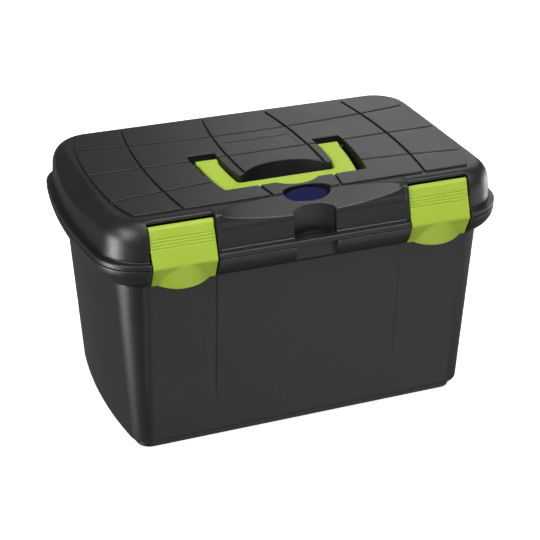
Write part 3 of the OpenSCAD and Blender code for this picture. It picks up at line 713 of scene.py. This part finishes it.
def domeHollow():
    wall, roof, skirt = lid["wall"], fieldZ - lid["roof"], lid["skirt"][1]
    side = [(box["cap"], below, 0), (skirt, below, 0), (skirt, lid["deck"], 0.6),
            (lid["domeInset"] + wall, lid["deck"], 1.5)]
    foot, turn = lid["domeInset"] + lid["lean"] + wall, lid["tileInset"] + wall
    side += shoulderLine(foot, box["shoulder"], turn, roof, 8)
    return ringed("hollow", side + [(box["cap"], roof, 0)])


def softMax(a, b, k):
    h = np.clip(0.5 + 0.5 * (a - b) / k, 0, 1)
    return b + (a - b) * h + k * h * (1 - h)


# inset of an upright line that turns over into a quarter ellipse
def turnedOver(z, d0, d1, z0, z1, zTop, dTop):
    wall = d0 + (d1 - d0) * (z - z0) / (z1 - z0)
    over = np.clip((z - z1) / (zTop - z1), 0, 1)
    return np.where(z < z1, wall, dTop - (dTop - d1) * np.sqrt(1 - over * over))


def scoopBackAt(x):
    return hood["scoopBack"] - hood["scoopR"] + np.sqrt(np.maximum(hood["scoopR"] ** 2 - x * x, 1.0))


# distance outside the hood's skin: face with ribs round it, scalloped facet, finger scoop
def hoodOutside(x, y, z, grow):
    h, d, field, lip = hood, y - front, lid["tileInset"], box["lipTop"]
    rib, bead = h["ribX"], lip + h["bead"]
    plain = turnedOver(z, h["face"], h["face"] + h["lean"], lip, top - h["brow"], fieldZ, field)
    dome = turnedOver(z, lid["domeInset"], lid["domeInset"] + lid["lean"], lip, box["shoulder"], fieldZ, field)
    sides = ease(rib - h["ribSoft"], rib + h["ribSoft"], np.abs(x))
    foot = 1 - ease(bead - h["beadSoft"], bead + h["beadSoft"], z)
    face = -softMax(-plain, -dome, 1.0) - np.maximum(h["rib"] * sides, h["beadOut"] * foot) - d
    tilt = radians(h["leafTilt"])
    near = np.clip(np.abs(x) / h["leafHalf"], 0, 1) ** h["leafPower"]
    close = h["leafDeep"] * (1 - (1 - near) ** (1 / h["leafPower"]))
    leaf = -(d - field) * sin(tilt) + (z - fieldZ) * cos(tilt) - close
    scoop = -softMax(np.abs(x) - h["scoopHalf"], y - scoopBackAt(x), h["scoopCorner"])
    skin = softMax(softMax(face, leaf, h["crease"]), scoop, h["scoopEdge"])
    return np.maximum(skin, z - fieldZ) + grow


# everything in front of and above the hood's skin, which is found along rays that fan out from a line behind it
def hoodCutter(name, grow, foot):
    half, tip = hood["half"] + grow, hood["leafHalf"]
    xs = set(np.linspace(-half, half, 119).tolist())
    for at in np.linspace(tip - 16.0, tip + 1.0, 35).tolist():  # closer columns at the tips of the facet
        xs |= {at, -at}
    for step in (-1.2, -0.7, -0.4, -0.2, 0.0, 0.2, 0.4, 0.7, 1.2):  # and at the scoop and the ribs
        for edge in (hood["scoopHalf"], hood["ribX"]):
            xs |= {edge + step, -edge - step}
    xs = np.array(sorted(xs))
    x, a = np.meshgrid(xs, np.radians(np.linspace(0.0, 90.0, 131)), indexing="ij")
    rear, past = front + lid["tileInset"] + 0.3 + grow, front - 12.0
    low, high = np.zeros_like(x), np.full_like(x, 60.0)
    for _ in range(44):  # halved until the skin is met
        middle = (low + high) / 2
        out = hoodOutside(x, rear - middle * np.cos(a), foot + middle * np.sin(a), grow) > 0
        high, low = np.where(out, middle, high), np.where(out, low, middle)
    y, z = rear - low * np.cos(a), foot + low * np.sin(a)
    rings = []
    for i, at in enumerate(xs):
        column = [(at, p, q) for p, q in zip(y[i], z[i])]
        rings.append(column + [(at, rear, above), (at, past, above), (at, past, foot)])
    return loft(name, rings)


def armAt(r, y):  # the handle's arms bow about a far centre, y from the pivot
    return bowX + sqrt(r * r - y * y)


def armPlan(inR, outR, y0, y1, side):  # plan of a bowed arm slot
    pivotY = handle["pivot"][0]
    rim = curve(y0, y1, 18, lambda y: (side * armAt(outR, y - pivotY), y))
    return rim + curve(y1, y0, 18, lambda y: (side * armAt(inR, y - pivotY), y))


# well of the handle: bowed arm slots, grip trough, finger pit behind it and thumb notch in front
def wellTool(name, high):
    h = handle
    floor, near, inner = h["wellFloor"], h["wellFront"], h["wellInner"]
    island = h["half"] - h["arm"] - h["inGap"]
    tool = slab(name, (-island - 1.5, island + 1.5), (near, inner), (floor, high))
    for side in (-1, 1):
        plan = armPlan(h["bowR"] - h["arm"] - h["inGap"], h["bowR"] + h["outGap"], near, h["wellRear"], side)
        carve(tool, prism("slot", plan, floor, high), "UNION")
    pitR = (h["pitHalf"] ** 2 + h["pitD"] ** 2) / (2 * h["pitD"])
    span = asin(h["pitHalf"] / pitR)
    rings = []
    for z, share in ((high, 1.0), (top - 1.5, 1.0), (floor + 1.0, h["pitDraft"])):
        arc = curve(-span, span, 30,
                    lambda a: (pitR * sin(a), inner + (pitR * cos(a) - pitR + h["pitD"]) * share))
        rings.append([(x, y, z) for x, y in arc] + [(x, inner - 4, z) for x in (arc[-1][0], arc[0][0])])
    carve(tool, loft("pit", rings), "UNION")
    r = h["notchR"]
    wide = acos((r - h["notchD"]) / r)
    notch = curve(-wide, wide, 24, lambda a: (r * sin(a), near - h["notchD"] + r - r * cos(a)))
    notch += [(notch[-1][0], near + 2), (notch[0][0], near + 2)]
    carve(tool, prism("thumb", notch, floor + 0.02, high), "UNION")
    return tool


def ovalPlan(grow, steps=72):
    a, b = badge["l"] / 2 + grow, badge["w"] / 2 + grow
    return curve(0.0, 2 * pi, steps, lambda t: (a * cos(t), b * sin(t)))[:-1]


def onBadgePlane(piece):
    return tilted(piece, (0, badge["y"], badge["z"]), badge["tilt"], "X")


def tileHalf(y):  # half width of the tiled field, bowed and bent in towards its corners
    bendY, bendR = lid["tileBend"]
    bowR = box["endR"] - lid["tileInset"]
    if abs(y) <= bendY:
        return endX + sqrt(bowR ** 2 - y * y)
    turn = asin(bendY / bowR)
    cx, cy = endX + (bowR - bendR) * cos(turn), (bowR - bendR) * sin(turn)
    return cx + sqrt(bendR ** 2 - (abs(y) - cy) ** 2)


def buildTiles():
    low = fieldZ - lid["tileSink"]
    right = curve(-lid["tileFront"], lid["tileFront"], 44, lambda y: (tileHalf(y), y))
    tiles = prism("tiles", right + [(-x, y) for x, y in reversed(right)], low, top)
    sizes = {"Groove width": lid["groove"], "Bar height": lid["barHeight"], "Level": top,
             "Long bow": lid["longBow"], "Cross bow": lid["crossBow"], "Inner groove": lid["grooveX"][0],
             "Outer groove": lid["grooveX"][1], "Cross groove": lid["grooveY"], "Reach": lid["barReach"]}
    values = {label: size * mm for label, size in sizes.items()}
    runTree(tiles, tileGrooves, {**values, "Material": charcoalPlastic})
    carve(tiles, wellTool("well", top + 4))
    carve(tiles, onBadgePlane(prism("seat", ovalPlan(badge["gap"] + 0.6), -3.0, 12.0)))
    roundEdges(tiles, lid["tileCorner"], lambda p: abs(p.z - (low + top) / 2) < 0.1, 50, 4)
    roundEdges(tiles, lid["tileEdge"], lambda p: p.z > top - 0.05, 60, 3)
    carve(tiles, prism("plate", lid["plate"], top - lid["plateDeep"], top + 2))
    return tiles


# room under the lid, less the walls round the pockets, the well and the badge seat
def lidHollow():
    wall, h = lid["wall"], handle
    hollow = domeHollow()
    carveBoth(hollow, facetTool("facetBack", wall))
    carve(hollow, hoodCutter("hoodBack", wall, hood["foot"]))
    carveBoth(hollow, slab("latchHouse", (pocket[0] - wall, pocket[1] + wall),
                           (ahead, latch["pocketBack"] + wall), (below, above)))
    half, island = h["half"] + h["outGap"] + wall, h["half"] - h["arm"] - h["inGap"] - wall
    near, rear = h["wellFront"] - h["notchD"] - wall, h["wellRear"] + wall
    pitRear = h["wellInner"] + h["pitD"] + wall
    house = [(-half, near), (half, near), (half, rear), (island, rear), (island, pitRear), (-island, pitRear),
             (-island, rear), (-half, rear)]
    carve(hollow, prism("wellHouse", house, h["wellFloor"] - wall, above))
    long, deep = badge["l"] / 2 + wall, badge["w"] / 2 + wall
    carve(hollow, onBadgePlane(slab("seatHouse", (-long, long), (-deep, deep), (-badge["t"] - wall, 14))))
    return hollow


def pocketTool():
    (p0, p1), back, low, r = pocket, latch["mouthBack"], latch["mouthLow"], latch["mouthR"]
    tool = slab("pocket", pocket, (ahead, latch["pocketBack"]), (box["lipTop"], low))
    mouth = softLine([(p0, ahead, 0), (p0, back, r), (p1, back, r), (p1, ahead, 0)])
    carve(tool, prism("mouth", mouth, low - 1, above), "UNION")
    carve(tool, slab("shelf", pocket, (ahead, latch["shelf"]), (below, latch["shelfTop"])), "UNION")
    return tool


def scoopSlot():  # crescent at the foot of the finger scoop
    half, near = hood["slotHalf"], front + hood["slotFront"]
    rear = curve(-half, half, 20, lambda x: (x, scoopBackAt(x) - hood["ledge"] + x * x / hood["slotBow"]))
    return prism("scoopSlot", [(-half, near), (half, near)] + rear[::-1], hood["slotFloor"], hood["slotTop"])


def buildLid():
    h = handle
    shell = domeBlank()
    carveBoth(shell, facetTool("facet", 0.0))
    roundEdges(shell, lid["facetEdge"], onFacet, 12)
    block = slab("hoodBlock", (-hood["half"], hood["half"]), (front + hood["face"] - 1.6, hood["rear"]),
                 (hood["foot"], fieldZ - 0.01))
    carve(shell, block, "UNION")
    carve(shell, hoodCutter("hoodCut", 0.0, box["lipTop"]))
    carve(shell, lidHollow())
    carveBoth(shell, pocketTool())
    carve(shell, wellTool("well", above))
    carve(shell, onBadgePlane(prism("seat", ovalPlan(badge["gap"]), -badge["t"], 12.0)))
    carve(shell, scoopSlot())
    roundEdges(shell, latch["pocketEdge"],
               lambda p: p.z > 199 and p.y < -98 and pocket[0] - 0.3 < abs(p.x) < pocket[1] + 2)
    extras = [buildTiles()]
    for y in lid["lineY"]:
        line = facetLine(y)
        extras += [mirrorX(line), line]
    for side in (-1, 1):
        x0 = side * hinge["x"] - hinge["lidHalf"]
        extras += knuckle(x0, x0 + 2 * hinge["lidHalf"], box["lidFoot"], box["lidFoot"] + hinge["web"])
        ends = sorted((side * (h["half"] + 0.9), side * (h["half"] + h["outGap"] + 0.3)))
        extras.append(sleeveX("pinBoss", *ends, h["pinR"] + 1.0, h["pinR"] + 0.05, *h["pivot"], 0.5))
    fuse(shell, *extras)
    shade(shell, charcoalPlastic)
    onBody(shell, "lid", "charcoal_plastic", "lid")


buildLid()


# badge: a plain crowned oval, navy, with a black band painted round its rim as the shade of the seat it sits
# down in
def badgeEnamel(name):
    paint = Paint(name)
    flake = paint.noise(badge["flake"])
    navy = paint.blendColour(flake, *badge["navy"])
    lean = cos(radians(badge["tilt"]))
    x = paint.node("SeparateXYZ", {}, {0: paint.place()}, "X") * (2 / (badge["l"] * mm))
    y = paint.node("SeparateXYZ", {}, {0: paint.place()}, "Y") - badge["y"] * mm
    y = y * (2 / (badge["w"] * mm * lean))
    # painted shade: the rim of the oval, sunk in its seat, is coloured black
    rimShade = paint.ramp(x * x + y * y, *badge["rimShadeShare"])
    colour = paint.blendColour(rimShade, navy, badge["rimShade"])
    return paint.finish({"Base Color": colour, "Roughness": flake * 0.06 + 0.12, "Specular IOR Level": 0.35,
                         "Coat Weight": 0.2, "Coat Roughness": 0.08})


def buildBadge():
    t = badge["t"]
    side = [(0.97, -t), (0.99, 0.3 - t), (0.99, -0.9), (0.975, -0.7), (0.93, -0.65), (0.915, -0.45),
            (0.895, -0.3)]  # share of the outline, and height
    side += [(share, badge["crown"] * rise - 0.3) for share, rise in
             ((0.82, 0.22), (0.7, 0.45), (0.5, 0.75), (0.25, 0.94), (0.06, 1.0))]
    rings = [[(x * share, y * share, z) for x, y in ovalPlan(0.0)] for share, z in side]
    oval = onBadgePlane(loft("badgeOval", rings))
    shade(oval, badgeEnamel("badgeEnamel"), 60)
    onBody(oval, "lid", "badge_enamel", "badge")


buildBadge()


# handle: two bowed arms and a grip, with fine mitre lines where they meet
def buildHandle():
    h, thick = handle, handle["t"] / 2
    right = curve(0.0, -h["length"], 16, lambda y: (armAt(h["bowR"], y), y))
    inner = curve(h["grip"] - h["length"], 0.0, 12, lambda y: (armAt(h["bowR"] - h["arm"], y), y))
    plan = right + [(-x, y) for x, y in reversed(right)] + [(-x, y) for x, y in reversed(inner)] + inner
    bail = prism("carryHandle", plan, -thick, thick)
    corners = [right[-1], inner[0]]
    roundEdges(bail, h["cornerR"], lambda p: abs(p.z) < 1 and any(
        hypot(abs(p.x) - x, p.y - y) < 0.5 for x, y in corners), 40, 5)
    roundEdges(bail, h["edgeR"], lambda p: abs(p.z) > thick - 0.1 and p.y < -0.5, 50, 4)
    outer, inCorner = Vector(right[-1]), Vector(inner[0])
    along = (outer - inCorner).normalized()
    across = Vector((-along.y, along.x)) * h["mitreHalf"]
    a, b = inCorner - along * 2, outer + along * 2
    line = [tuple(a + across), tuple(b + across), tuple(b - across), tuple(a - across)]
    carveBoth(bail, prism("mitre", line, thick - h["mitreDeep"], thick + 1))
    bosses = []
    for side in (-1, 1):
        ends = sorted((side * (h["half"] - h["arm"] - 0.4), side * (h["half"] + 0.4)))
        bosses.append(sleeveX("boss", *ends, thick + 0.4, h["pinR"], 0, 0, 0.8))
    fuse(bail, *bosses)
    tilted(bail, (0, *h["pivot"]), h["tilt"], "X")
    shade(bail, limePlastic)
    onBody(bail, "handle", "lime_plastic", "carry_handle")


buildHandle()

# latches: leaning plate with fine ridges, bent foot, and a finger tab like a slanted cylinder
ridge = {"at": (0.30, 0.375, 0.45, 0.525), "width": 0.7, "depth": 0.6, "edge": 0.9, "backEdge": 0.5,
         "topEdge": 3.6, "topDrop": 1.5, "creaseR": 2.2, "creaseDrop": 0.35}


def tabRise(u, w):  # how far the tab stands off the foot plate, u across and w down from the crease
    footLen = hypot(latch["foot"][0] - latch["crease"][0], latch["crease"][1] - latch["foot"][1])
    out, half = latch["tabOut"], latch["tabHalf"]
    r = (half * half + out * out) / (2 * out)
    arc = sqrt(max(r * r - u * u, 0.0)) - r + out
    return softMax(arc - (footLen - w) * out / footLen, 0.0, 0.5)


def edgeDrop(e, r, deep):  # fall of a rounded edge at distance e inside it
    return 0.0 if e >= r else deep * (1 - sqrt(max(1 - (1 - e / r) ** 2, 0.0)))


def buildLatch(name, body, side):
    (ty, tz), (cy, cz), (fy, fz) = latch["top"], latch["crease"], latch["foot"]
    upper, lower = hypot(ty - cy, tz - cz), hypot(fy - cy, fz - cz)
    r, backR, half, middle = ridge["edge"], ridge["backEdge"], latch["w"] / 2, side * latch["x"]
    foot, topR, creaseR = upper + lower, ridge["topEdge"], ridge["creaseR"]
    edgeSteps = (0.0, 0.07, 0.25, 0.5, r)
    xs = [step - half for step in edgeSteps]
    xs += np.linspace(-half + r, half - r, 49).tolist()[1:-1] + [-v for v in reversed(xs)]
    rows = {foot - step for step in edgeSteps}
    rows |= {topR * f for f in (0.0, 0.03, 0.1, 0.2, 0.35, 0.5, 0.7, 1.0)}
    rows |= set(np.linspace(topR, upper - 2, 10).tolist())
    rows |= {upper + v for v in np.linspace(-2, 2, 9).tolist() + np.linspace(2, lower - r, 22).tolist()}
    centres = [upper * at for at in ridge["at"]]
    for c in centres:
        rows |= {c + s * ridge["width"] * f for s in (-1, 1) for f in (0.0, 0.3, 0.6, 0.85, 1.0, 1.2)}
    rows = sorted(rows)

    def path(v):  # front line of the plate and its outward direction, softened at the crease
        bend = ease(-creaseR, creaseR, v - upper)
        if v <= upper:
            y, z = ty + (cy - ty) * v / upper, tz + (cz - tz) * v / upper
        else:
            w = (v - upper) / lower
            y, z = cy + (fy - cy) * w, cz + (fz - cz) * w
        n0 = Vector((cz - tz, -(cy - ty))).normalized()
        n1 = Vector((fz - cz, -(fy - cy))).normalized()
        n = n0.lerp(n1, bend).normalized()
        away = max(0.0, 1 - abs(v - upper) / creaseR)
        return y, z, n, ridge["creaseDrop"] * away * away

    verts, behind = [], []
    for v in rows:
        y, z, n, soft = path(v)
        for u in xs:
            inward = half - abs(u)
            drop = max(edgeDrop(min(inward, foot - v), r, r), edgeDrop(v, topR, ridge["topDrop"]), soft)
            for c in centres:
                off = abs(v - c) / ridge["width"]
                if off < 1:
                    drop = max(drop, ridge["depth"] * (1 - off * off))
            out = (tabRise(u, v - upper) if v > upper else 0.0) - drop
            verts.append((middle + u, y + n.x * out, z + n.y * out))
            behind.append((middle + u, y + latch["t"] - edgeDrop(inward, backR, backR), z))
    count, width = len(rows), len(xs)
    faces, base = [], count * width
    for i in range(count - 1):
        for k in range(width - 1):
            a = i * width + k
            faces.append((a, a + 1, a + width + 1, a + width))
            faces.append((base + a, base + a + width, base + a + width + 1, base + a + 1))
        for k in (0, width - 1):
            a = i * width + k
            faces.append((a, a + width, base + a + width, base + a))
    for k in range(width - 1):
        for a in (k, (count - 1) * width + k):
            faces.append((a, a + 1, base + a + 1, base + a))
    plate = makePiece(name, verts + behind, faces)
    barrels = []
    for out in (-1, 1):
        ends = sorted((middle + out * half, middle + out * half - out * latch["barrelL"]))
        barrels.append(sleeveX("barrel", *ends, latch["barrelR"], latch["pinR"], *latch["pin"], 0.5, 32))
    fuse(plate, *barrels)
    shade(plate, limePlastic, 40)
    onBody(plate, body, "lime_plastic", body)


buildLatch("latchLeft", "latch_left", -1)
buildLatch("latchRight", "latch_right", 1)

# tray: one deep cell with a flange and rib pairs for its dividers
tray = {"y": 52.1, "low": 145.6, "high": 191.6, "wall": 2.0, "body": (160.0, 46.0, 18.0),
        "flange": (169.0, 50.0, 22.0), "ribX": 62.0, "slot": 2.3, "ribOut": 3.0, "ribSink": 0.2, "ribEdge": 0.4}


def roundRect(size, inset, z, steps=8):
    halfW, halfD, r = [length - inset for length in size]
    points = []
    for sx, sy, start in ((1, -1, -90), (1, 1, 0), (-1, 1, 90), (-1, -1, 180)):
        for i in range(steps + 1):
            a = radians(start + 90 * i / steps)
            points.append((sx * (halfW - r) + r * cos(a), tray["y"] + sy * (halfD - r) + r * sin(a), z))
    return points


def buildTray():
    body, flange, t = tray["body"], tray["flange"], tray["wall"]
    low, high, y, sink = tray["low"], tray["high"], tray["y"], tray["ribSink"]
    outside = ((4.0, low), (2.4, low + 0.3), (1.2, low + 1.2), (0.3, low + 2.4), (0.0, low + 4.0),
               (0.0, high - t - 0.6), (-0.3, high - t))
    edge = ((0.5, high - t), (0.0, high - t + 0.5), (0.0, high - 0.6), (0.2, high - 0.2), (0.7, high))
    inside = ((-0.6, high), (-0.15, high - 0.2), (0.0, high - 0.7), (0.0, low + 4.6), (0.4, low + 3.2),
              (1.4, low + 2.3), (3.0, low + t))
    rings = [roundRect(body, inset, z) for inset, z in outside]
    rings += [roundRect(flange, inset, z) for inset, z in edge]
    rings += [roundRect(body, t + inset, z) for inset, z in inside]
    shell = loft("trayShell", rings)
    zMid, tall, deep = (low + high) / 2, high - low - 2 * t + 0.6, tray["ribOut"] + 2 * sink
    step = (tray["slot"] + t) / 2
    wallX, wallY = body[0] - t - tray["ribOut"] / 2 + sink, y - body[1] + t + tray["ribOut"] / 2 - sink
    frontRibs = [(s * tray["ribX"] + d, wallY, zMid) for s in (-1, 1) for d in (-step, step)]
    endRibs = [(s * wallX, y + d, zMid) for s in (-1, 1) for d in (-step, step)]
    rows = [blocks("frontRibs", frontRibs, (t, deep, tall), trayPlastic),
            blocks("endRibs", endRibs, (deep, t, tall), trayPlastic)]
    for row in rows:
        roundEdges(row, tray["ribEdge"])
    fuse(shell, *rows)
    shade(shell, trayPlastic)
    onBody(shell, "tray", "tray_plastic", "tray")


buildTray()


# pins and dividers keep their solids and take a finish
def dressNodes():
    for name, node in frame["nodes"].items():
        finish = steel if "pin" in name else trayPlastic if "divider" in name else None
        if finish:
            node.data.materials.clear()
            node.data.materials.append(finish)


dressNodes()
print("pins and dividers dressed")

# studio: pale floor, softboxes above, and low cards whose light comes up as from a white table
# each lamp has its place in metres, power, width and height; the sky is grey by height of direction
studio = {
    "floor": 6.0, "floorDrop": 0.0003, "floorGlow": 0.8,
    "floorTones": ((0.90, 0.90, 0.90, 1), (0.92, 0.92, 0.92, 1)),
    "sky": ((0.0, 0.18), (0.44, 0.18), (0.53, 0.095), (0.61, 0.095), (0.68, 0.168)),
    "lamps": {"rearLight": ((1.4, 2.05, 1.15), 5.9, 1.45, 0.8),
              "lowFront": ((0.6, -1.5, -0.75), 3.4, 1.4, 1.0)},
    "glints": {"topGlint": ((0.15, -0.45, 1.75), 10.0, 0.9, 0.7),
               "leftGlint": ((-1.25, -0.85, 0.8), 17.0, 0.6, 0.9),
               "lowLeft": ((-1.45, -0.12, -0.22), 16.0, 0.55, 0.5),
               "lowRight": ((1.5, 0.4, -0.1), 5.8, 0.6, 0.45),
               "creaseGlint": ((0.6, -1.3, 1.25), 17.0, 0.9, 0.3),
               "lowRear": ((0.85, 1.7, -0.4), 3.6, 1.6, 0.7),
               "rightCard": ((1.6, -0.8, -0.35), 3.0, 1.2, 0.7)},
    "fills": {"overFill": ((0.4, -0.5, 1.75), 27.0, 1.0, 0.8),
              "leftFill": ((-1.2, -0.75, 0.95), 13.0, 0.35, 0.5),
              "lowFill": ((0.2, -1.5, -0.6), 10.0, 1.2, 0.8),
              "rearFill": ((-0.3, 1.6, 0.9), 8.0, 1.0, 0.8)}}


def lamp(name, place, power, wide, tall, aim=(0, 0, 0.15)):
    data = bpy.data.lights.new(name, "AREA")
    data.shape, data.energy, data.size, data.size_y = "RECTANGLE", power, wide, tall
    light = bpy.data.objects.new(name, data)
    light.location = place
    light.rotation_euler = (Vector(aim) - Vector(place)).to_track_quat("-Z", "Y").to_euler()
    light.visible_camera = False
    scene.collection.objects.link(light)
    return light


def buildStudio():
    half = studio["floor"] / mm
    plan = [(-half, -half, 0), (half, -half, 0), (half, half, 0), (-half, half, 0)]
    floor = makePiece("floor", plan, [(0, 1, 2, 3)])
    floor.location.z = -studio["floorDrop"]
    paint = Paint("paleFloor")
    cloud = paint.noise(3.0)
    floor.data.materials.append(paint.finish({
        "Base Color": paint.blendColour(cloud, *studio["floorTones"]), "Roughness": 0.8,
        "Emission Color": (1, 1, 1, 1), "Emission Strength": studio["floorGlow"]}))
    floor.visible_diffuse = floor.visible_glossy = floor.visible_shadow = False  # throws no light back
    sky = Paint("softBox", "World")
    rise = sky.node("SeparateXYZ", {}, {0: sky.node("TexCoord", {}, {}, "Generated")}, "Z")
    greys = [(at, (grey, grey, grey, 1)) for at, grey in studio["sky"]]
    shades = sky.node("ValToRGB", {"stops": greys}, {"Fac": rise * 0.5 + 0.5})
    scene.world = sky.finish({"Color": shades}, "Background")
    for name, settings in studio["lamps"].items():
        lamp(name, *settings)
    for name, settings in studio["glints"].items():
        lamp(name, *settings).visible_diffuse = False  # seen only as a reflection
    for name, settings in studio["fills"].items():
        lamp(name, *settings).visible_glossy = False  # no reflection of it is seen
    scene.view_settings.view_transform = "Standard"


buildStudio()
print("studio set")
